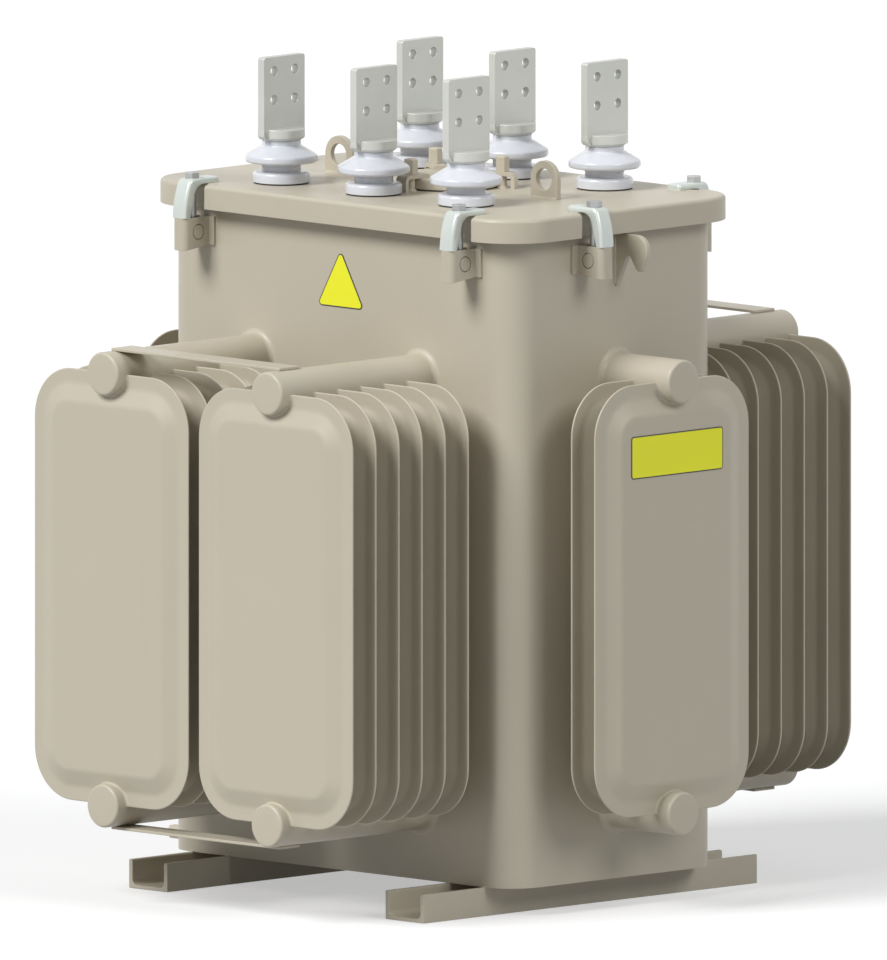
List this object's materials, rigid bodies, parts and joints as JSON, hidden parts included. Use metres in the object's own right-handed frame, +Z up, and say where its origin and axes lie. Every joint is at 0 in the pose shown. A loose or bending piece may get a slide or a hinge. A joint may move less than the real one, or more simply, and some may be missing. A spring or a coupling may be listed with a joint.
{
  "type": "oil-immersed reactor",
  "caption": "Oil-immersed shunt or series reactor in a rounded sheet tank with plate-fin radiators, a clamped lid, porcelain bushings with drilled flag terminals and channel skids.",
  "frame": {"origin": "centre of the footprint at floor level, under the tank's centre", "axes": "+Z up; X along the tank's long walls, +X towards the end wall whose clamp lies towards the front; -Y is the front, the side that shows the yellow triangle plate"},
  "size_m": [0.94, 1.01, 1.149],
  "materials": {
    "tank_paint": "satin warm grey paint",
    "porcelain": "glazed white porcelain",
    "tinned_metal": "matt tin plating",
    "rubber_seal": "matt black",
    "zinc_casting": "zinc coat",
    "zinc_steel": "zinc coat"
  },
  "bodies": {
    "root": {"tank_wall": "tank_paint", "tank_floor": "tank_paint", "tank_rim": "tank_paint", "lid": "tank_paint", "left_skid": "tank_paint", "right_skid": "tank_paint", "front_left_fins": "tank_paint", "front_left_headers": "tank_paint", "front_right_fins": "tank_paint", "front_right_headers": "tank_paint", "back_left_fins": "tank_paint", "back_left_headers": "tank_paint", "back_right_fins": "tank_paint", "back_right_headers": "tank_paint", "left_fins": "tank_paint", "left_headers": "tank_paint", "right_fins": "tank_paint", "right_headers": "tank_paint", "front_straps": "tank_paint", "back_straps": "tank_paint", "clamp_brackets": "tank_paint", "barrel_nuts": "tank_paint", "lifting_eyes": "tank_paint", "hauling_hooks": "tank_paint", "hand_hole_cover": "tank_paint", "cover_dogs": "tank_paint", "cover_studs": "tank_paint", "drain_boss": "tank_paint", "drain_plug": "tank_paint", "front_left_porcelain": "porcelain", "front_middle_porcelain": "porcelain", "front_right_porcelain": "porcelain", "back_left_porcelain": "porcelain", "back_middle_porcelain": "porcelain", "back_right_porcelain": "porcelain", "front_left_terminal": "tinned_metal", "front_middle_terminal": "tinned_metal", "front_right_terminal": "tinned_metal", "back_left_terminal": "tinned_metal", "back_middle_terminal": "tinned_metal", "back_right_terminal": "tinned_metal", "cover_gasket": "rubber_seal", "lid_gaskets": "rubber_seal", "clamp_hooks": "zinc_casting", "clamp_bolts": "zinc_steel"}
  },
  "joints": []
}
